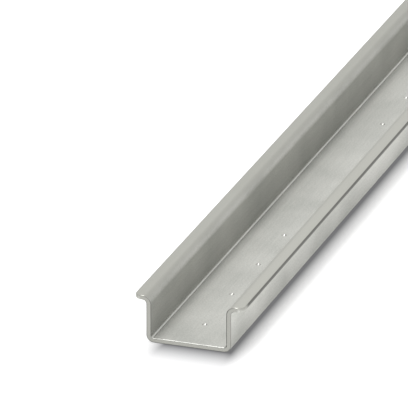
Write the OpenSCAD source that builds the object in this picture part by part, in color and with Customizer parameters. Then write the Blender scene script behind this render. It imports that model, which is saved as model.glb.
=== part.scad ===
// Top-hat mounting rail, 35 x 15 mm section, cold-rolled in one piece from
// galvanised steel strip and cut to a stock length.
//
// Frame: X runs along the rail, Y across it and Z up, with the channel open
// upwards. The origin is at the middle of the rail, on its back face.

/* [Stock] */
// Length of the rail as it is sold
rail_length = 1000; // [100:50:2000]
// Thickness of the strip
sheet = 1.5; // [1:0.1:2.3]

/* [Section] */
// Width over the two lips
rail_width = 35; // [34:0.5:45]
// Width over the outside faces of the two walls
channel_width = 27; // [14:0.5:28]
// Height from the back face to the top of the lips
rail_height = 15; // [7.5:0.5:25]
// Inside radius of the two bends beside the floor
floor_bend = 0.8; // [0.4:0.1:1.5]
// Inside radius of the two bends under the lips
lip_bend = 1.2; // [0.4:0.1:1.5]

/* [Edges] */
// Radius left by the slitting rolls along the edge of each lip
lip_edge = 0.3; // [0.1:0.05:0.45]
// Chamfer left by deburring round both cut ends
end_chamfer = 0.3; // [0.1:0.05:0.45]
// Radius of the lips' corners at both cut ends, seen from above
lip_corner = 2.5; // [0.5:0.1:2.5]

/* [Centre marks] */
// Distance from one centre mark to the next
mark_pitch = 25; // [10:1:100]
// Distance from the cut end to the first mark
first_mark = 15; // [5:0.5:50]
// Width of a mark across its rim
mark_width = 1.6; // [0.8:0.1:2.5]
// Depth of a mark below the floor's top face
mark_depth = 0.4; // [0.1:0.05:0.4]
// Marks that come before the plain stretch of floor kept free for a stamp
marks_before_stamp = 4; // [0:1:10]
// Marks left out along that stretch
marks_left_out = 3; // [0:1:10]

/* [Hidden] */
$fn = 64;

// Straight runs of the section, between its bends.
floor_run = channel_width - 2 * (sheet + floor_bend);
wall_run = rail_height - 2 * sheet - floor_bend - lip_bend;
lip_run = (rail_width - channel_width) / 2 - lip_bend;

// The lips' corners stay within the flat of the lips.
corner = min(lip_corner, lip_run - lip_edge);

// A mark is the dent that the cap of a ball leaves in the strip.
mark_ball = (pow(mark_width / 2, 2) + pow(mark_depth, 2)) / (2 * mark_depth);
mark_count = 1 + floor((rail_length - 2 * end_chamfer - mark_width / 2 - first_mark) / mark_pitch);

// The strip cut along the rail: its thickness by its length, with the four
// corners of the cut ends deburred.
module strip_profile() {
    half = rail_length / 2;
    c = end_chamfer;
    polygon([
        [c, -half], [sheet - c, -half], [sheet, c - half], [sheet, half - c],
        [sheet - c, half], [c, half], [0, half - c], [0, c - half]
    ]);
}

// A straight run of strip, from X = 0 to X = run, with its thickness in +Y
// and the length of the rail along Z.
module flat(run) {
    rotate([90, 0, 90]) linear_extrude(run) strip_profile();
}

// A quarter bend about Z, from the +X axis round to the +Y axis.
module bend(inside_radius) {
    rotate_extrude(angle = 90) translate([inside_radius, 0]) strip_profile();
}

// Outline of a lip seen along the rail, with both corners of its free edge
// rounded.
module lip_outline() {
    r = lip_edge;
    square([lip_run - r, sheet]);
    translate([0, r]) square([lip_run, sheet - 2 * r]);
    for (y = [r, sheet - r]) translate([lip_run - r, y]) circle(r);
}

// A rounded corner of a lip about Y, with both of its rims deburred.
module corner_of_lip() {
    c = end_chamfer;
    rotate([90, 0, 0]) rotate_extrude(angle = 90) polygon([
        [0, 0], [corner - c, 0], [corner, c], [corner, sheet - c], [corner - c, sheet], [0, sheet]
    ]);
}

module lip() {
    flat(lip_run - corner);
    linear_extrude(rail_length - 2 * corner, center = true) lip_outline();
    for (end = [0, 1]) mirror([0, 0, end])
        translate([lip_run - corner, sheet, rail_length / 2 - corner]) corner_of_lip();
}

// One side of the section, from the floor bend out to the lip.
module side() {
    translate([floor_run / 2, sheet + floor_bend]) rotate(-90) bend(floor_bend);
    translate([channel_width / 2, sheet + floor_bend]) rotate(90) flat(wall_run);
    translate([channel_width / 2 + lip_bend, rail_height - sheet - lip_bend]) rotate(90) bend(lip_bend);
    translate([channel_width / 2 + lip_bend, rail_height - sheet]) lip();
}

// The rolled strip, drawn with the rail along Z and its section in XY.
module rolled_strip() {
    translate([-floor_run / 2, 0]) flat(floor_run);
    for (left = [0, 1]) mirror([left, 0]) side();
}

// The balls that dent the marks into the middle of the floor.
module centre_marks() {
    stamp_end = marks_before_stamp + marks_left_out;
    for (i = [0 : mark_count - 1])
        if (i < marks_before_stamp || i >= stamp_end)
            translate([first_mark + i * mark_pitch - rail_length / 2, 0, sheet - mark_depth + mark_ball])
                sphere(mark_ball);
}

module din_rail() {
    color("#c3c4be") difference() {
        rotate([90, 0, 90]) rolled_strip();
        centre_marks();
    }
}

din_rail();
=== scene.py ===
"""A deep top-hat mounting rail of zinc-plated steel, on a white studio floor.

The strip is rolled, bent, deburred and marked here pass by pass, inside the
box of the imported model, and dressed in its plating.
"""
import logging
import math
from dataclasses import dataclass, field
from enum import Enum
from typing import Any

import bmesh
import bpy
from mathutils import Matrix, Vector


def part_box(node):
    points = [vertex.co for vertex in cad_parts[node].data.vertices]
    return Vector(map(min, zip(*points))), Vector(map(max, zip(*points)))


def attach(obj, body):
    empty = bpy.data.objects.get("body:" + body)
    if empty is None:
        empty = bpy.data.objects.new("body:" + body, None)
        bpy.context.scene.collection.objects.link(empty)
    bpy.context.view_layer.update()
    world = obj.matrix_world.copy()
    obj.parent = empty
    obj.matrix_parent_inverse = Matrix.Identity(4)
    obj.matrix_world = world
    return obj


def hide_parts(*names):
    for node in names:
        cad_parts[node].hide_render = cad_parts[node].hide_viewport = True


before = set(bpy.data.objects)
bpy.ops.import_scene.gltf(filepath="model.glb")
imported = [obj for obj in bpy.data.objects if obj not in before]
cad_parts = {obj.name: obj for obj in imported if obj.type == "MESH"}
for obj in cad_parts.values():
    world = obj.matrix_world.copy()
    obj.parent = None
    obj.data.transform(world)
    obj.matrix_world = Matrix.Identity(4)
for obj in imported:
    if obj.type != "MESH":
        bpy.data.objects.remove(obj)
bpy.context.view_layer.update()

LOG = logging.getLogger("din_rail")
MM = 0.001
TOUCH = 0.001 * MM  # Points or levels nearer than this are the same.
SLANT = 0.01  # A part of a normal under this counts as none.
CAD_NODE = "din_rail"
BODY = "root"


def linear_colour(hex_colour: str) -> tuple[float, float, float, float]:
    """Turn an sRGB hex colour into the linear colour that a shader takes.

    Args:
        hex_colour: Six hex digits after a hash, such as "#C3C3BB".

    Returns:
        Linear red, green and blue, with an alpha of 1.
    """
    channels = [int(hex_colour[i:i + 2], 16) / 255 for i in (1, 3, 5)]
    linear = [c / 12.92 if c <= 0.04045 else ((c + 0.055) / 1.055) ** 2.4 for c in channels]
    return (*linear, 1.0)


def add_node(tree: bpy.types.NodeTree, kind: str, inputs: dict[Any, Any] | None = None,
             **settings: Any) -> bpy.types.Node:
    """Add one node, with its settings, its input values and its links.

    Args:
        tree: The node tree that it goes into.
        kind: The node's type name.
        inputs: Input name or number to a value, or to an output to link from.
        settings: Properties of the node itself.

    Returns:
        The new node.
    """
    node = tree.nodes.new(kind)
    for name, value in settings.items():
        setattr(node, name, value)
    for key, value in (inputs or {}).items():
        if isinstance(value, bpy.types.NodeSocket):
            tree.links.new(value, node.inputs[key])
        else:
            node.inputs[key].default_value = value
    return node


def empty_tree(owner: bpy.types.Material | bpy.types.World) -> bpy.types.NodeTree:
    """Empty a material's or a world's node tree and switch it on.

    Args:
        owner: What the tree belongs to.

    Returns:
        The empty tree.
    """
    owner.use_nodes = True
    owner.node_tree.nodes.clear()
    return owner.node_tree


def overlap(tree: bpy.types.NodeTree, zones: list[bpy.types.NodeSocket]) -> bpy.types.NodeSocket:
    """Add the nodes that find where several zones overlap.

    Args:
        tree: The node tree that they go into.
        zones: Outputs that are 1 inside their zone and 0 outside it.

    Returns:
        An output that is 1 where all the zones are.
    """
    shared = zones[0]
    for zone in zones[1:]:
        both = add_node(tree, "ShaderNodeMath", {0: shared, 1: zone}, operation="MULTIPLY")
        shared = both.outputs["Value"]
    return shared


@dataclass(frozen=True)
class SurfacePoint:
    """Where a point of the rail is and which way it faces, as node outputs.

    Attributes:
        tree: The node tree that the outputs are in.
        place: The Object coordinates.
        across: Distance from the rail's middle plane, negative on its -Y side.
        level: Height above the rail's back.
        reach: Distance from the rail's middle, along it, on either side.
        side: Distance from the rail's middle plane, on either side.
        facing_across: How far the surface faces +Y.
        facing_up: How far the surface faces up.
    """

    tree: bpy.types.NodeTree
    place: bpy.types.NodeSocket
    across: bpy.types.NodeSocket
    level: bpy.types.NodeSocket
    reach: bpy.types.NodeSocket
    side: bpy.types.NodeSocket
    facing_across: bpy.types.NodeSocket
    facing_up: bpy.types.NodeSocket

    @classmethod
    def read(cls, tree: bpy.types.NodeTree) -> "SurfacePoint":
        """Add the nodes that read a point's place and its normal.

        Args:
            tree: The node tree that they go into.

        Returns:
            Their outputs.
        """
        surface = add_node(tree, "ShaderNodeTexCoord").outputs
        axes = add_node(tree, "ShaderNodeSeparateXYZ", {"Vector": surface["Object"]}).outputs
        facing = add_node(tree, "ShaderNodeSeparateXYZ", {"Vector": surface["Normal"]}).outputs
        reach = add_node(tree, "ShaderNodeMath", {0: axes["X"]}, operation="ABSOLUTE")
        side = add_node(tree, "ShaderNodeMath", {0: axes["Y"]}, operation="ABSOLUTE")
        return cls(tree=tree, place=surface["Object"], across=axes["Y"], level=axes["Z"],
                   reach=reach.outputs["Value"], side=side.outputs["Value"],
                   facing_across=facing["Y"], facing_up=facing["Z"])


@dataclass(frozen=True)
class ZincPattern:
    """The fine pattern in the zinc: clouds of passivation, rolling lines and crystals.

    The lines and the crystals break up the reflections. The clouds are only
    seen as a slow change of tone along the strip.

    Attributes:
        cloud: Size of a cloud, in metres.
        cloud_detail: Layers of finer clouds inside a cloud.
        cloud_roughness: Strength of each finer layer beside the last one.
        grain_width: Width of a rolling line, in metres.
        grain_length: Length of a rolling line, in metres.
        grain_share: Strength of the rolling lines beside the crystals.
        crystal: Size of the crystals, drawn coarse enough to show, in metres.
        fine_detail: Layers of finer lines and crystals.
        noise_mean: Mean of each of the three patterns.
        tint_spread: How far their sum leaves its mean where the tint is full.
        sheen_spread: How far clouds and crystals leave theirs where the sheen is full.
    """

    cloud: float = 22 * MM
    cloud_detail: float = 3.0
    cloud_roughness: float = 0.55
    grain_width: float = 0.9 * MM
    grain_length: float = 30 * MM
    grain_share: float = 0.35
    crystal: float = 0.5 * MM
    fine_detail: float = 2.0
    noise_mean: float = 0.5
    tint_spread: float = 0.35
    sheen_spread: float = 0.4

    def draw(self, point: SurfacePoint) -> tuple[bpy.types.NodeSocket, ...]:
        """Add the nodes that draw the pattern.

        Args:
            point: The point that it is drawn at.

        Returns:
            The relief's height, the share of the clouds' tint and the share of
            the roughness's range.
        """
        tree = point.tree
        clouds = add_node(tree, "ShaderNodeTexNoise",
                          {"Vector": point.place, "Scale": 1 / self.cloud,
                           "Detail": self.cloud_detail, "Roughness": self.cloud_roughness})
        scale = (1 / self.grain_length, 1 / self.grain_width, 1 / self.grain_width)
        rolled = add_node(tree, "ShaderNodeMapping", {"Vector": point.place, "Scale": scale})
        grain = add_node(tree, "ShaderNodeTexNoise",
                         {"Vector": rolled.outputs["Vector"], "Scale": 1.0, "Detail": self.fine_detail})
        crystals = add_node(tree, "ShaderNodeTexNoise",
                            {"Vector": point.place, "Scale": 1 / self.crystal,
                             "Detail": self.fine_detail})
        relief = add_node(tree, "ShaderNodeMath",
                          {0: grain.outputs["Fac"], 1: self.grain_share, 2: crystals.outputs["Fac"]},
                          operation="MULTIPLY_ADD")
        mottle = add_node(tree, "ShaderNodeMath",
                          {0: clouds.outputs["Fac"], 1: relief.outputs["Value"]}, operation="ADD")
        mean = self.noise_mean * (2 + self.grain_share)
        tint = add_node(tree, "ShaderNodeMapRange",
                        {"Value": mottle.outputs["Value"], "From Min": mean - self.tint_spread,
                         "From Max": mean + self.tint_spread})
        both = add_node(tree, "ShaderNodeMath",
                        {0: clouds.outputs["Fac"], 1: crystals.outputs["Fac"]}, operation="ADD")
        mean = self.noise_mean * 2
        sheen = add_node(tree, "ShaderNodeMapRange",
                         {"Value": both.outputs["Value"], "From Min": mean - self.sheen_spread,
                          "From Max": mean + self.sheen_spread})
        return relief.outputs["Value"], tint.outputs["Result"], sheen.outputs["Result"]


@dataclass(frozen=True)
class ZincPlating:
    """Electroplated zinc on cold-rolled steel, passivated clear.

    The zinc is a bright metal broken up by fine crystals, so it shows soft
    satin reflections, with a faint grain along the strip from the rolls. A
    band that is a pair runs from where its tone starts to where it is full,
    or from where it starts to end to where it has ended.

    Most tones by place are painted light and shade, chosen for the looks in this
    studio: painted shade on the upper slit edges, on the walls towards their foot
    and on the upright rims round the cut ends, and painted light on the -Y side.
    The lips are darker as well. No cause for these tones on a real rail is known.
    With wall shade tones, lit side tone and rim share of 1, and one colour for all
    the places, the rail is even all over.

    Attributes:
        half_length: Half the rail's length, in metres.
        half_width: Half the width over the lips, in metres.
        height: Height of the lips' tops, in metres.
        floor_level: Height of the floor's top face, in metres.
        mark_width: Width of a centre mark, in metres.
        bend_start: Where the bends beside the floor start, in metres from the middle.
        bend_radius: Inside radius of those bends, in metres.
        lip_corner: Radius of the lips' corners seen from above, in metres.
        pattern: The clouds, lines and crystals in it.
        colour: Reflection colour of the plating.
        cloud_colour: The same in the clouds.
        lip_colour: The same on the lips.
        lip_band: Height over which the plating turns to the lips' colour, in metres.
        slit_shade_colour: The same on the slit edges, as painted shade.
        slit_band: Band of that tone, back from the slit edge, in metres.
        slit_clear: Band where that tone ends before a cut end, in lip corners.
        upper_band: Band of it on a slit edge, up from this far below the lips' tops, in metres.
        wall_shade_tones: Tone of the walls at their foot and at their top, as painted shade that is darker
            at the foot.
        wall_foot: Share of the bend's radius past which its slope counts as wall.
        lit_side_tone: Tone of the -Y side beside the +Y side's, as painted light.
        cut_colour: The same on the cut ends.
        cut_band: Band of that tone behind a cut end, in metres.
        square_band: Turn of the normal over which the cut's tone ends.
        rim_shade_colour: The same on the upright rims round the cut ends, as painted shade.
        rim_band: Band of that painted shade, and of the smoother rims, behind a cut end, in metres.
        rim_clear: Band where that tone ends before a slit edge, in lip corners.
        upright_band: Rise of the normal over which an upright rim ends.
        rim_share: Share of that painted shade on rims that face -Y.
        rim_turn: Turn of the normal, either way, over which that share changes.
        metallic: Share of the metal beside the clear passivation.
        roughness: Middle roughness of the plating.
        roughness_spread: How far the clouds and the crystals move it.
        burnished_roughness: Roughness of the rims, the centre marks and the floor's bends.
        burnish_depth: Depth in a centre mark at which it is smooth, in metres.
        relief: Strength of the grain's and the crystals' relief.
        relief_height: Height of that relief, in metres.
    """

    half_length: float
    half_width: float
    height: float
    floor_level: float
    mark_width: float
    bend_start: float
    bend_radius: float
    lip_corner: float
    pattern: ZincPattern = ZincPattern()
    colour: str = "#CACAC5"
    cloud_colour: str = "#AFB0AB"
    lip_colour: str = "#9F9F99"
    lip_band: float = 1.8 * MM
    # Painted shade: a dark band on the upper slit edges.
    slit_shade_colour: str = "#62625E"
    slit_band: tuple[float, float] = (0.3 * MM, 0.1 * MM)
    slit_clear: tuple[float, float] = (2.0, 1.0)
    upper_band: tuple[float, float] = (1.2 * MM, 0.9 * MM)
    # Painted shade: the walls are darker at their foot than at their top.
    wall_shade_tones: tuple[float, float] = (0.86, 1.14)
    wall_foot: float = 0.9
    # Painted light: the -Y side is made lighter than the +Y side.
    lit_side_tone: float = 1.1
    cut_colour: str = "#A6A6A0"
    cut_band: tuple[float, float] = (0.12 * MM, 0.03 * MM)
    square_band: tuple[float, float] = (0.1, 0.3)
    # Painted shade: the upright rims round the cut ends are nearly black.
    rim_shade_colour: str = "#202020"
    rim_band: tuple[float, float] = (0.34 * MM, 0.272 * MM)
    rim_clear: tuple[float, float] = (1.5, 1.0)
    upright_band: tuple[float, float] = (0.2, 0.6)
    rim_share: float = 0.6
    rim_turn: float = 0.3
    metallic: float = 0.8
    roughness: float = 0.58
    roughness_spread: float = 0.08
    burnished_roughness: float = 0.24
    burnish_depth: float = 0.02 * MM
    relief: float = 0.3
    relief_height: float = 0.01 * MM

    def material(self) -> bpy.types.Material:
        """Build the plating as a procedural material.

        Returns:
            The material, which reads Object coordinates and the surface's own normal.
        """
        made = bpy.data.materials.new("zinc_plating")
        tree = empty_tree(made)
        point = SurfacePoint.read(tree)
        relief, tint, sheen = self.pattern.draw(point)
        end = add_node(tree, "ShaderNodeMapRange",
                       {"Value": point.reach, "From Min": self.half_length - self.rim_band[0],
                        "From Max": self.half_length - self.rim_band[1]}).outputs["Result"]
        colour = self.plate(point, tint)
        # The slit edges, the walls and the rims get painted shade, and the -Y side painted light.
        colour = self.paint_slit_shade(point, colour)
        colour = self.paint_wall_shade_and_side_light(point, colour)
        colour = self.paint_rim_shade(point, colour, end)
        colour = self.colour_ends(point, colour)
        burnished = self.burnish(point, end)
        rough = add_node(tree, "ShaderNodeMix",
                         {"Factor": sheen, "A": self.roughness - self.roughness_spread,
                          "B": self.roughness + self.roughness_spread}, data_type="FLOAT")
        rough = add_node(tree, "ShaderNodeMix",
                         {"Factor": burnished, "A": rough.outputs["Result"],
                          "B": self.burnished_roughness}, data_type="FLOAT")
        calm = add_node(tree, "ShaderNodeMath", {0: burnished, 1: -self.relief, 2: self.relief},
                        operation="MULTIPLY_ADD")
        bump = add_node(tree, "ShaderNodeBump",
                        {"Height": relief, "Strength": calm.outputs["Value"],
                         "Distance": self.relief_height})
        metal = add_node(tree, "ShaderNodeBsdfPrincipled",
                         {"Metallic": self.metallic, "Base Color": colour,
                          "Roughness": rough.outputs["Result"], "Normal": bump.outputs["Normal"]})
        add_node(tree, "ShaderNodeOutputMaterial", {"Surface": metal.outputs["BSDF"]})
        return made

    def plate(self, point: SurfacePoint, tint: bpy.types.NodeSocket) -> bpy.types.NodeSocket:
        """Colour the plating, clouded all over and darker on the lips.

        Args:
            point: The point that is coloured.
            tint: Share of the clouds' tint there.

        Returns:
            Its colour.
        """
        clouded = add_node(point.tree, "ShaderNodeMix",
                           {"Factor": tint, "A": linear_colour(self.colour),
                            "B": linear_colour(self.cloud_colour)}, data_type="RGBA")
        lip = add_node(point.tree, "ShaderNodeMapRange",
                       {"Value": point.level, "From Min": self.height - self.lip_band,
                        "From Max": self.height}, interpolation_type="SMOOTHSTEP")
        darker_lips = add_node(point.tree, "ShaderNodeMix",
                          {"Factor": lip.outputs["Result"], "A": clouded.outputs["Result"],
                           "B": linear_colour(self.lip_colour)}, data_type="RGBA")
        return darker_lips.outputs["Result"]

    def paint_slit_shade(self, point: SurfacePoint,
                          colour: bpy.types.NodeSocket) -> bpy.types.NodeSocket:
        """Paint shade on the upper part of the slit edges, between the lips' corners.

        Args:
            point: The point that is coloured.
            colour: Its colour so far.

        Returns:
            Its colour.
        """
        edge = add_node(point.tree, "ShaderNodeMapRange",
                        {"Value": point.side, "From Min": self.half_width - self.slit_band[0],
                         "From Max": self.half_width - self.slit_band[1]})
        straight = add_node(point.tree, "ShaderNodeMapRange",
                            {"Value": point.reach,
                             "From Min": self.half_length - self.slit_clear[0] * self.lip_corner,
                             "From Max": self.half_length - self.slit_clear[1] * self.lip_corner,
                             "To Min": 1.0, "To Max": 0.0})
        upper = add_node(point.tree, "ShaderNodeMapRange",
                         {"Value": point.level, "From Min": self.height - self.upper_band[0],
                          "From Max": self.height - self.upper_band[1]})
        zone = overlap(point.tree, [node.outputs["Result"] for node in (edge, straight, upper)])
        # Painted shade: the slit edges' upper part is mixed towards a dark colour.
        darker = add_node(point.tree, "ShaderNodeMix",
                          {"Factor": zone, "A": colour, "B": linear_colour(self.slit_shade_colour)},
                          data_type="RGBA")
        return darker.outputs["Result"]

    def paint_wall_shade_and_side_light(self, point: SurfacePoint, colour: bpy.types.NodeSocket) -> bpy.types.NodeSocket:
        """Paint shade on the walls, darker at the foot than at the top, and paint light on the -Y side.

        Args:
            point: The point that is coloured.
            colour: Its colour so far.

        Returns:
            Its colour.
        """
        # Painted shade: the walls' tone climbs from dark at the foot to light at the top.
        climb = add_node(point.tree, "ShaderNodeMapRange",
                         {"Value": point.level, "From Min": self.floor_level + self.bend_radius,
                          "From Max": self.height - self.lip_band,
                          "To Min": self.wall_shade_tones[0], "To Max": self.wall_shade_tones[1]})
        wall = add_node(point.tree, "ShaderNodeMath",
                        {0: point.side, 1: self.bend_start + self.bend_radius * self.wall_foot},
                        operation="GREATER_THAN")
        tone = add_node(point.tree, "ShaderNodeMix",
                        {"Factor": wall.outputs["Value"], "A": 1.0, "B": climb.outputs["Result"]},
                        data_type="FLOAT")
        # Painted light: the -Y side is scaled brighter.
        beside = add_node(point.tree, "ShaderNodeMapRange",
                          {"Value": point.across, "From Min": -self.bend_start - self.bend_radius,
                           "From Max": -self.bend_start, "To Min": self.lit_side_tone, "To Max": 1.0})
        tone = add_node(point.tree, "ShaderNodeMath",
                        {0: tone.outputs["Result"], 1: beside.outputs["Result"]}, operation="MULTIPLY")
        toned = add_node(point.tree, "ShaderNodeVectorMath",
                         {"Vector": colour, "Scale": tone.outputs["Value"]}, operation="SCALE")
        return toned.outputs["Vector"]

    def paint_rim_shade(self, point: SurfacePoint, colour: bpy.types.NodeSocket,
                   end: bpy.types.NodeSocket) -> bpy.types.NodeSocket:
        """Paint shade on the upright rims round the cut ends, darkest where they face +Y.

        Args:
            point: The point that is coloured.
            colour: Its colour so far.
            end: How far it is in the rims' band.

        Returns:
            Its colour.
        """
        upright = add_node(point.tree, "ShaderNodeMapRange",
                           {"Value": point.facing_up, "From Min": self.upright_band[0],
                            "From Max": self.upright_band[1], "To Min": 1.0, "To Max": 0.0})
        inside = add_node(point.tree, "ShaderNodeMapRange",
                          {"Value": point.side,
                           "From Min": self.half_width - self.rim_clear[0] * self.lip_corner,
                           "From Max": self.half_width - self.rim_clear[1] * self.lip_corner,
                           "To Min": 1.0, "To Max": 0.0})
        share = add_node(point.tree, "ShaderNodeMapRange",
                         {"Value": point.facing_across, "From Min": -self.rim_turn,
                          "From Max": self.rim_turn, "To Min": self.rim_share, "To Max": 1.0})
        zone = overlap(point.tree, [end, *(node.outputs["Result"] for node in (upright, inside, share))])
        # Painted shade: the rims are mixed towards near black, most where they face +Y.
        darkened = add_node(point.tree, "ShaderNodeMix",
                            {"Factor": zone, "A": colour, "B": linear_colour(self.rim_shade_colour)},
                            data_type="RGBA")
        return darkened.outputs["Result"]

    def colour_ends(self, point: SurfacePoint, colour: bpy.types.NodeSocket) -> bpy.types.NodeSocket:
        """Colour the cut ends, up to where their rims turn up, down or towards +Y.

        Args:
            point: The point that is coloured.
            colour: Its colour so far.

        Returns:
            Its colour.
        """
        cut = add_node(point.tree, "ShaderNodeMapRange",
                       {"Value": point.reach, "From Min": self.half_length - self.cut_band[0],
                        "From Max": self.half_length - self.cut_band[1]})
        steep = add_node(point.tree, "ShaderNodeMath", {0: point.facing_up}, operation="ABSOLUTE")
        turned = add_node(point.tree, "ShaderNodeMath",
                          {0: steep.outputs["Value"], 1: point.facing_across}, operation="MAXIMUM")
        square = add_node(point.tree, "ShaderNodeMapRange",
                          {"Value": turned.outputs["Value"], "From Min": self.square_band[0],
                           "From Max": self.square_band[1], "To Min": 1.0, "To Max": 0.0})
        zone = overlap(point.tree, [cut.outputs["Result"], square.outputs["Result"]])
        coloured = add_node(point.tree, "ShaderNodeMix",
                            {"Factor": zone, "A": colour, "B": linear_colour(self.cut_colour)},
                            data_type="RGBA")
        return coloured.outputs["Result"]

    def burnish(self, point: SurfacePoint, end: bpy.types.NodeSocket) -> bpy.types.NodeSocket:
        """Find the smoother places: the rims, the centre marks and the floor's bends.

        Args:
            point: The point that is looked at.
            end: How far it is in the rims' band.

        Returns:
            How smooth it is, from 0 to 1.
        """
        tests = (("LESS_THAN", point.level, self.floor_level - self.burnish_depth),
                 ("LESS_THAN", point.side, self.mark_width / 2),
                 ("LESS_THAN", point.level, self.floor_level + self.bend_radius),
                 ("COMPARE", point.side, self.bend_start + self.bend_radius / 2))
        # The third value is how near the comparison has to come. The other tests don't use it.
        sunk, middle, low, beside = (
            add_node(point.tree, "ShaderNodeMath", {0: value, 1: limit, 2: self.bend_radius / 2},
                     operation=operation).outputs["Value"] for operation, value, limit in tests)
        smooth = end
        for zone in (overlap(point.tree, [sunk, middle]), overlap(point.tree, [low, beside])):
            more = add_node(point.tree, "ShaderNodeMath", {0: smooth, 1: zone}, operation="MAXIMUM")
            smooth = more.outputs["Value"]
        return smooth


@dataclass(frozen=True)
class StudioWhite:
    """Matt white paper, lit from below for the camera and the metal.

    The darkening close round the rail is painted on the paper, from the
    rail's footprint. Only the camera sees it, on top of the shadow that the
    lamps cast.

    Attributes:
        footprint: Half length and half width of the rail, in metres.
        colour: Colour of the paper.
        glow: Light that the camera sees it give.
        mirrored_glow: Light that the metal sees it give.
        contact_colour: Tone of the paper where the rail touches it.
        contact_reach: Width of the darkened band beside the rail, in metres.
        contact_power: How fast the band clears away from the rail.
        end_stretch: How much wider the band is off the rail's ends.
        lee_shift: How far the band lies towards the side away from the lamp, in metres.
    """

    footprint: tuple[float, float]
    colour: str = "#F4F4F4"
    glow: float = 0.85
    mirrored_glow: float = 0.65
    contact_colour: str = "#6C6C6E"
    contact_reach: float = 14.5 * MM
    contact_power: float = 3.0
    end_stretch: float = 2.8
    lee_shift: float = 3 * MM

    def material(self) -> bpy.types.Material:
        """Build the floor's material.

        Returns:
            The material, which reads Object coordinates only.
        """
        made = bpy.data.materials.new("studio_white")
        tree = empty_tree(made)
        path = add_node(tree, "ShaderNodeLightPath")
        fade = add_node(tree, "ShaderNodeMath", {0: 1.0, 1: self.contact(tree)}, operation="SUBTRACT")
        clear = add_node(tree, "ShaderNodeMath",
                         {0: 1.0, 1: path.outputs["Is Camera Ray"]}, operation="SUBTRACT")
        clear = add_node(tree, "ShaderNodeMath",
                         {0: clear.outputs["Value"], 1: fade.outputs["Value"]}, operation="MAXIMUM")
        paper = add_node(tree, "ShaderNodeMix",
                         {"Factor": clear.outputs["Value"], "A": linear_colour(self.contact_colour),
                          "B": linear_colour(self.colour)}, data_type="RGBA")
        seen = add_node(tree, "ShaderNodeMath",
                        {0: path.outputs["Is Camera Ray"], 1: self.glow}, operation="MULTIPLY")
        glow = add_node(tree, "ShaderNodeMath",
                        {0: path.outputs["Is Glossy Ray"], 1: self.mirrored_glow,
                         2: seen.outputs["Value"]}, operation="MULTIPLY_ADD")
        matt = add_node(tree, "ShaderNodeBsdfDiffuse", {"Color": paper.outputs["Result"]})
        light = add_node(tree, "ShaderNodeEmission",
                         {"Color": paper.outputs["Result"], "Strength": glow.outputs["Value"]})
        both = add_node(tree, "ShaderNodeAddShader",
                        {0: matt.outputs["BSDF"], 1: light.outputs["Emission"]})
        add_node(tree, "ShaderNodeOutputMaterial", {"Surface": both.outputs["Shader"]})
        return made

    def contact(self, tree: bpy.types.NodeTree) -> bpy.types.NodeSocket:
        """Add the nodes that find how near the rail a point of the paper is.

        Args:
            tree: The node tree that they go into.

        Returns:
            Its nearness, from 1 under the rail to 0 past the darkened band.
        """
        nowhere = (0.0, 0.0, 0.0)
        steps = (("ADD", (0.0, self.lee_shift, 0.0)),
                 ("ABSOLUTE", nowhere),
                 ("SUBTRACT", (self.footprint[0], self.footprint[1] - self.lee_shift, 0.0)),
                 ("MAXIMUM", nowhere),
                 ("MULTIPLY", (1 / self.end_stretch, 1.0, 0.0)))
        away = add_node(tree, "ShaderNodeTexCoord").outputs["Object"]
        for operation, other in steps:
            step = add_node(tree, "ShaderNodeVectorMath", {0: away, 1: other}, operation=operation)
            away = step.outputs["Vector"]
        distance = add_node(tree, "ShaderNodeVectorMath", {0: away}, operation="LENGTH")
        near = add_node(tree, "ShaderNodeMapRange",
                        {"Value": distance.outputs["Value"], "From Max": self.contact_reach,
                         "To Min": 1.0, "To Max": 0.0})
        nearness = add_node(tree, "ShaderNodeMath",
                            {0: near.outputs["Result"], 1: self.contact_power}, operation="POWER")
        return nearness.outputs["Value"]


class Turn(Enum):
    """Which way a bend turns the strip, seen along +X as it travels to +Y."""

    UP = 1
    DOWN = -1


@dataclass(frozen=True)
class Straight:
    """A flat run of strip.

    Attributes:
        run: Its length across the section, in metres.
    """

    run: float


@dataclass(frozen=True)
class Bend:
    """A quarter bend in the strip.

    Attributes:
        inside_radius: Radius on the inside of the bend, in metres.
        turn: The side that the strip turns to.
    """

    inside_radius: float
    turn: Turn


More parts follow.
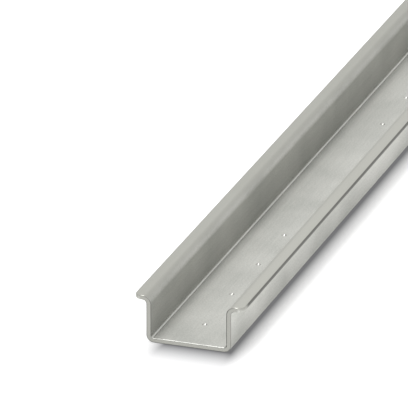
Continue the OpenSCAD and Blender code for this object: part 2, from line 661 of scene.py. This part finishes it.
@dataclass
class RailSection:
    """The rolled section, from the tip of one lip to the tip of the other.

    Attributes:
        width: Width over the lips, in metres.
        height: Height from the back face to the lips, in metres.
        channel_width: Width over the outside of the walls, in metres.
        sheet: Thickness of the strip, in metres.
        floor_bend: Inside radius of the bends beside the floor, in metres.
        lip_bend: Inside radius of the bends under the lips, in metres.
        bend_steps: Facets in each quarter bend.
    """

    width: float
    height: float
    channel_width: float = 27 * MM
    sheet: float = 1.5 * MM
    floor_bend: float = 0.8 * MM
    lip_bend: float = 1.2 * MM
    bend_steps: int = 16

    @property
    def floor_run(self) -> float:
        """Width of the flat floor between its bends, in metres."""
        return self.channel_width - 2 * (self.sheet + self.floor_bend)

    def passes(self) -> list[Straight | Bend]:
        """List what the rolls do to the strip, from lip tip to lip tip.

        Returns:
            The straights and bends in their order across the section.
        """
        lip = Straight((self.width - self.channel_width) / 2 - self.lip_bend)
        wall = Straight(self.height - 2 * self.sheet - self.floor_bend - self.lip_bend)
        left = [lip, Bend(self.lip_bend, Turn.DOWN), wall, Bend(self.floor_bend, Turn.UP)]
        right = [Bend(self.floor_bend, Turn.UP), wall, Bend(self.lip_bend, Turn.DOWN), lip]
        return [*left, Straight(self.floor_run), *right]

    def roll(self, mesh: bmesh.types.BMesh, start: float) -> list[bmesh.types.BMFace]:
        """Roll the flat outline of the section, as a row of faces.

        Args:
            mesh: The mesh that it is made in.
            start: Where the section stands along the rail, in metres.

        Returns:
            The faces of the section, in order.
        """
        tip = Vector((start, -self.width / 2, self.height))
        corners = [mesh.verts.new(tip), mesh.verts.new(tip - Vector((0, 0, self.sheet)))]
        edge = mesh.edges.new(corners)
        heading = 0.0
        for step in self.passes():
            travel = Vector((0, math.cos(heading), math.sin(heading)))
            if isinstance(step, Straight):
                grown = bmesh.ops.extrude_edge_only(mesh, edges=[edge])["geom"]
                verts = [g for g in grown if isinstance(g, bmesh.types.BMVert)]
                bmesh.ops.translate(mesh, verts=verts, vec=travel * step.run)
                edge = mesh.edges.get(verts)
                continue
            side = Vector((0, -travel.z, travel.y)) * step.turn.value
            middle = (edge.verts[0].co + edge.verts[1].co) / 2
            centre = middle + side * (step.inside_radius + self.sheet / 2)
            angle = math.pi / 2 * step.turn.value
            spun = bmesh.ops.spin(mesh, geom=[*edge.verts, edge], cent=centre, axis=(1, 0, 0),
                                  dvec=(0, 0, 0), angle=angle, steps=self.bend_steps,
                                  use_merge=False, use_duplicate=False)["geom_last"]
            edge = next(g for g in spun if isinstance(g, bmesh.types.BMEdge))
            heading += angle
        bmesh.ops.remove_doubles(mesh, verts=mesh.verts, dist=TOUCH)
        return list(mesh.faces)


@dataclass
class CentreMarks:
    """The row of small punched dents along the middle of the floor.

    Attributes:
        pitch: Distance from one mark to the next, in metres.
        first: Distance from the cut end to the first mark, in metres.
        width: Width of a mark across its rim, in metres.
        depth: Depth of a mark, in metres.
        before_stamp: Marks before the plain stretch kept for a stamp.
        left_out: Marks left out along that stretch.
        rings: Rings of faces from the rim of a mark to its middle.
        sides: Facets round a mark, in each quarter.
        first_inset: Width of a new ring before its points are placed, in metres.
    """

    pitch: float = 25 * MM
    first: float = 15 * MM
    width: float = 1.6 * MM
    depth: float = 0.4 * MM
    before_stamp: int = 4
    left_out: int = 3
    rings: int = 6
    sides: int = 6
    first_inset: float = 0.016 * MM

    def places(self, length: float) -> list[float]:
        """Work out where the marks are along a rail.

        Args:
            length: Length of the rail, in metres.

        Returns:
            Distance of each mark from the rail's middle, in metres.
        """
        count = 1 + int((length - self.width - self.first) / self.pitch)
        stamp = range(self.before_stamp, self.before_stamp + self.left_out)
        return [self.first + i * self.pitch - length / 2 for i in range(count) if i not in stamp]

    def press(self, mesh: bmesh.types.BMesh, floor: bmesh.types.BMFace, length: float) -> int:
        """Press the marks down into the floor.

        Args:
            mesh: The rail's mesh.
            floor: The flat top face of the floor.
            length: Length of the rail, in metres.

        Returns:
            How many marks were made.
        """
        level = floor.calc_center_median().z
        half = self.width
        strip = self.cut(mesh, [floor], Vector((0, -half, 0)), Vector((0, 1, 0)))
        strip = self.cut(mesh, strip, Vector((0, half, 0)), Vector((0, -1, 0)))
        places = self.places(length)
        for x in places:
            patch = self.patch(mesh, x, half, level)
            self.dent(mesh, patch, Vector((x, 0, level)))
        return len(places)

    @staticmethod
    def cut(mesh: bmesh.types.BMesh, faces: list[bmesh.types.BMFace], point: Vector,
            keep: Vector) -> list[bmesh.types.BMFace]:
        """Cut faces with a plane and return those on the kept side.

        Args:
            mesh: The rail's mesh.
            faces: Faces to cut.
            point: A point on the plane.
            keep: The plane's normal, towards the faces that are returned.

        Returns:
            The faces on the side that keep points to.
        """
        edges = {e for f in faces for e in f.edges}
        verts = {v for f in faces for v in f.verts}
        cut = bmesh.ops.bisect_plane(mesh, geom=[*faces, *edges, *verts], plane_co=point, plane_no=keep)
        found = [g for g in cut["geom"] if isinstance(g, bmesh.types.BMFace)]
        return [f for f in found if (f.calc_center_median() - point).dot(keep) > 0]

    def patch(self, mesh: bmesh.types.BMesh, x: float, half: float, level: float) -> bmesh.types.BMFace:
        """Cut a square patch out of the middle strip of the floor.

        Args:
            mesh: The rail's mesh.
            x: The mark's place along the rail, in metres.
            half: Half the patch's side, in metres.
            level: Height of the floor's top face, in metres.

        Returns:
            The square face round that place.
        """
        span = next(f for f in mesh.faces if self.holds(f, x, half, level))
        kept = self.cut(mesh, [span], Vector((x - half, 0, 0)), Vector((1, 0, 0)))
        kept = self.cut(mesh, kept, Vector((x + half, 0, 0)), Vector((-1, 0, 0)))
        return kept[0]

    @staticmethod
    def holds(face: bmesh.types.BMFace, x: float, half: float, level: float) -> bool:
        """Say whether a face is the stretch of middle strip that a mark lies on.

        Args:
            face: The face.
            x: The mark's place along the rail, in metres.
            half: Half the mark's patch's side, in metres.
            level: Height of the floor's top face, in metres.

        Returns:
            True when the whole patch lies on it.
        """
        points = [v.co for v in face.verts]
        flat = all(abs(p.z - level) < TOUCH and abs(p.y) < half + TOUCH for p in points)
        return flat and min(p.x for p in points) < x - half and max(p.x for p in points) > x + half

    def dent(self, mesh: bmesh.types.BMesh, patch: bmesh.types.BMFace, middle: Vector) -> None:
        """Round a square patch and sink it, ring by ring, as a ball's cap would.

        Args:
            mesh: The rail's mesh.
            patch: The square face.
            middle: Middle of the mark, level with the floor.
        """
        bmesh.ops.subdivide_edges(mesh, edges=list(patch.edges), cuts=self.sides - 1)
        around = [f for f in mesh.faces if len(f.verts) == 4 * self.sides and
                  (f.calc_center_median() - middle).length < self.width / 4]
        top = around[0]
        radius = self.width / 2
        ball = (radius ** 2 + self.depth ** 2) / (2 * self.depth)
        for ring in range(self.rings + 1):
            bmesh.ops.inset_individual(mesh, faces=[top], thickness=self.first_inset)
            for edge in top.edges:
                edge.smooth = ring > 0
            reach = radius * (1 - ring / (self.rings + 1))
            drop = math.sqrt(ball ** 2 - reach ** 2) - (ball - self.depth)
            for vert in top.verts:
                outwards = Vector((vert.co.x - middle.x, vert.co.y - middle.y, 0)).normalized()
                vert.co = middle + outwards * reach - Vector((0, 0, drop))
        bmesh.ops.poke(mesh, faces=[top])


@dataclass
class MountingRail:
    """The whole rail: section, lip edges, cut ends and centre marks.

    Attributes:
        section: The rolled section.
        length: Length of the rail, in metres.
        marks: The marks on its floor.
        edge_radius: Radius of the lips' free edges and of the deburred ends, in metres.
        lip_corner: Radius of the lips' corners seen from above, in metres.
        edge_steps: Facets in each rounded edge.
        corner_steps: Facets in each rounded corner.
        flat_weight: Weight of the flat faces in the smoothed normals, in the modifier's own count.
    """

    section: RailSection
    length: float
    marks: CentreMarks = field(default_factory=CentreMarks)
    edge_radius: float = 0.3 * MM
    lip_corner: float = 2.5 * MM
    edge_steps: int = 4
    corner_steps: int = 12
    flat_weight: int = 100

    @classmethod
    def from_frame(cls) -> "MountingRail":
        """Take the rail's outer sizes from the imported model.

        Returns:
            The rail's builder.
        """
        low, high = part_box(CAD_NODE)
        size = high - low
        return cls(section=RailSection(width=size.y, height=size.z), length=size.x)

    def build(self) -> bpy.types.Object:
        """Roll, bend, deburr and mark the rail.

        Returns:
            The rail, at the origin, with its place in its mesh.
        """
        mesh = bmesh.new()
        outline = self.section.roll(mesh, -self.length / 2)
        self.draw_out(mesh, outline)
        self.round_edges(mesh)
        count = self.marks.press(mesh, self.floor_face(mesh), self.length)
        LOG.info("pressed %d centre marks", count)
        for face in mesh.faces:
            face.smooth = True
        data = bpy.data.meshes.new("rolled_rail")
        mesh.to_mesh(data)
        mesh.free()
        rail = bpy.data.objects.new("rolled_rail", data)
        bpy.context.scene.collection.objects.link(rail)
        flats = rail.modifiers.new("flat_faces_stay_flat", "WEIGHTED_NORMAL")
        flats.weight = self.flat_weight
        flats.keep_sharp = True
        return rail

    def draw_out(self, mesh: bmesh.types.BMesh, outline: list[bmesh.types.BMFace]) -> None:
        """Draw the section out to the rail's length.

        Args:
            mesh: The rail's mesh.
            outline: The faces of the section.
        """
        drawn = bmesh.ops.extrude_face_region(mesh, geom=outline)["geom"]
        verts = [g for g in drawn if isinstance(g, bmesh.types.BMVert)]
        bmesh.ops.translate(mesh, verts=verts, vec=(self.length, 0, 0))
        bmesh.ops.recalc_face_normals(mesh, faces=mesh.faces)

    def round_edges(self, mesh: bmesh.types.BMesh) -> None:
        """Round the lips' corners, then every edge between a face of the strip and a cut.

        Args:
            mesh: The rail's mesh.
        """
        tips = [e for e in mesh.edges if e.calc_length() < self.length / 2
                and all(self.at_tip(v.co) for v in e.verts)]
        self.bevel(mesh, tips, self.lip_corner, self.corner_steps)
        rims = [e for e in mesh.edges if sum(self.is_cut(f) for f in e.link_faces) == 1]
        self.bevel(mesh, rims, self.edge_radius, self.edge_steps)

    def at_tip(self, point: Vector) -> bool:
        """Say whether a point is on the free edge of a lip."""
        return abs(abs(point.y) - self.section.width / 2) < TOUCH

    def is_cut(self, face: bmesh.types.BMFace) -> bool:
        """Say whether a face crosses the strip's thickness: a slit edge, a corner or a cut end."""
        return abs(face.normal.x) > SLANT or self.at_tip(face.calc_center_median())

    @staticmethod
    def bevel(mesh: bmesh.types.BMesh, edges: list[bmesh.types.BMEdge], radius: float,
              steps: int) -> None:
        """Round some edges to a radius.

        Args:
            mesh: The rail's mesh.
            edges: The edges.
            radius: Their radius, in metres.
            steps: Facets across each of them.
        """
        bmesh.ops.bevel(mesh, geom=edges, offset=radius, offset_type="OFFSET", affect="EDGES",
                        segments=steps, profile=0.5, material=-1, clamp_overlap=False)

    def floor_face(self, mesh: bmesh.types.BMesh) -> bmesh.types.BMFace:
        """Find the flat top face of the floor.

        Args:
            mesh: The rail's mesh.

        Returns:
            The biggest face at that height.
        """
        tops = [face for face in mesh.faces if face.normal.z > 1 - SLANT
                and abs(face.calc_center_median().z - self.section.sheet) < TOUCH]
        return max(tops, key=lambda face: face.calc_area())

    @property
    def footprint(self) -> tuple[float, float]:
        """Half length and half width of what stands on the floor, in metres."""
        return self.length / 2, self.section.channel_width / 2

    @property
    def plating(self) -> ZincPlating:
        """The finish, laid out to the rail's own sizes."""
        section = self.section
        return ZincPlating(half_length=self.length / 2, half_width=section.width / 2,
                           height=section.height, floor_level=section.sheet,
                           mark_width=self.marks.width, bend_start=section.floor_run / 2,
                           bend_radius=section.floor_bend, lip_corner=self.lip_corner)

    def dress(self, rail: bpy.types.Object) -> None:
        """Give the rail its plating and its place in the frame.

        Args:
            rail: The finished rail.
        """
        rail.data.materials.append(self.plating.material())
        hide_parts(CAD_NODE)
        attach(rail, BODY)


@dataclass
class Studio:
    """The floor, the lights and the camera.

    Attributes:
        footprint: Half length and half width of the rail on the floor, in metres.
        floor_size: Side of the floor, in metres.
        world_strength: Strength of the room's light on matt surfaces.
        softbox_size: Sides of the overhead softbox, in metres.
        softbox_place: Middle of the softbox, in metres.
        softbox_power: Its power, in watts.
        aim: Point that the camera looks at, in metres.
        azimuth: Camera's turn from the rail's own direction, in degrees.
        elevation: Camera's height above the horizon, in degrees.
        distance: Distance from the camera to its aim, in metres.
        lens: Focal length of the camera's lens, in millimetres.
        sensor: Width of the camera's sensor, in millimetres.
    """

    footprint: tuple[float, float]
    floor_size: float = 60.0
    world_strength: float = 0.4
    softbox_size: tuple[float, float] = (3.0, 0.6)
    softbox_place: tuple[float, float, float] = (-0.394, 0.34, 1.8)
    softbox_power: float = 20.0
    aim: tuple[float, float, float] = (-0.394, 0.0321, 0.0015)
    azimuth: float = -19.29
    elevation: float = 22.23
    distance: float = 2.1845
    lens: float = 610.0
    sensor: float = 36.0

    def lay_floor(self) -> None:
        """Lay the white floor under the rail."""
        mesh = bmesh.new()
        bmesh.ops.create_grid(mesh, x_segments=1, y_segments=1, size=self.floor_size / 2)
        data = bpy.data.meshes.new("studio_floor")
        mesh.to_mesh(data)
        mesh.free()
        floor = bpy.data.objects.new("studio_floor", data)
        bpy.context.scene.collection.objects.link(floor)
        floor.data.materials.append(StudioWhite(footprint=self.footprint).material())

    def light_room(self) -> None:
        """Light the room evenly, white where the camera or the metal sees it."""
        world = bpy.data.worlds.new("white_room")
        bpy.context.scene.world = world
        tree = empty_tree(world)
        path = add_node(tree, "ShaderNodeLightPath")
        seen = add_node(tree, "ShaderNodeMath",
                        {0: path.outputs["Is Camera Ray"], 1: path.outputs["Is Glossy Ray"]},
                        operation="MAXIMUM")
        seen = add_node(tree, "ShaderNodeMath",
                        {0: seen.outputs["Value"], 1: path.outputs["Is Transmission Ray"]},
                        operation="MAXIMUM")
        strength = add_node(tree, "ShaderNodeMapRange",
                            {"Value": seen.outputs["Value"], "To Min": self.world_strength, "To Max": 1.0})
        white = add_node(tree, "ShaderNodeBackground",
                         {"Color": linear_colour("#FFFFFF"), "Strength": strength.outputs["Result"]})
        add_node(tree, "ShaderNodeOutputWorld", {"Surface": white.outputs["Background"]})

    def hang_softbox(self) -> None:
        """Hang the big softbox over the near end of the rail."""
        lamp = bpy.data.lights.new("overhead_softbox", "AREA")
        lamp.shape = "RECTANGLE"
        lamp.size, lamp.size_y = self.softbox_size
        lamp.energy = self.softbox_power
        box = bpy.data.objects.new("overhead_softbox", lamp)
        bpy.context.scene.collection.objects.link(box)
        box.location = self.softbox_place
        aim = Vector((self.softbox_place[0], 0, 0)) - Vector(self.softbox_place)
        box.rotation_euler = aim.to_track_quat("-Z", "Y").to_euler()
        box.visible_camera = False

    def set_camera(self) -> None:
        """Set the camera up beside the near end, looking along the rail."""
        lens = bpy.data.cameras.new("long_lens")
        lens.lens = self.lens
        lens.sensor_width = self.sensor
        camera = bpy.data.objects.new("long_lens", lens)
        bpy.context.scene.collection.objects.link(camera)
        turn, rise = math.radians(self.azimuth), math.radians(self.elevation)
        ahead = Vector((math.cos(turn) * math.cos(rise), -math.sin(turn) * math.cos(rise), -math.sin(rise)))
        camera.location = Vector(self.aim) - ahead * self.distance
        camera.rotation_euler = ahead.to_track_quat("-Z", "Y").to_euler()
        bpy.context.scene.camera = camera

    def set_up(self) -> None:
        """Set up the whole studio."""
        self.lay_floor()
        self.light_room()
        self.hang_softbox()
        self.set_camera()
        bpy.context.scene.view_settings.view_transform = "Standard"


def main() -> None:
    """Build the rail and its studio."""
    logging.basicConfig(level=logging.INFO, format="%(name)s: %(message)s")
    builder = MountingRail.from_frame()
    rail = builder.build()
    builder.dress(rail)
    LOG.info("%s: %d faces", rail.name, len(rail.data.polygons))
    Studio(footprint=builder.footprint).set_up()


if __name__ == "__main__":
    main()
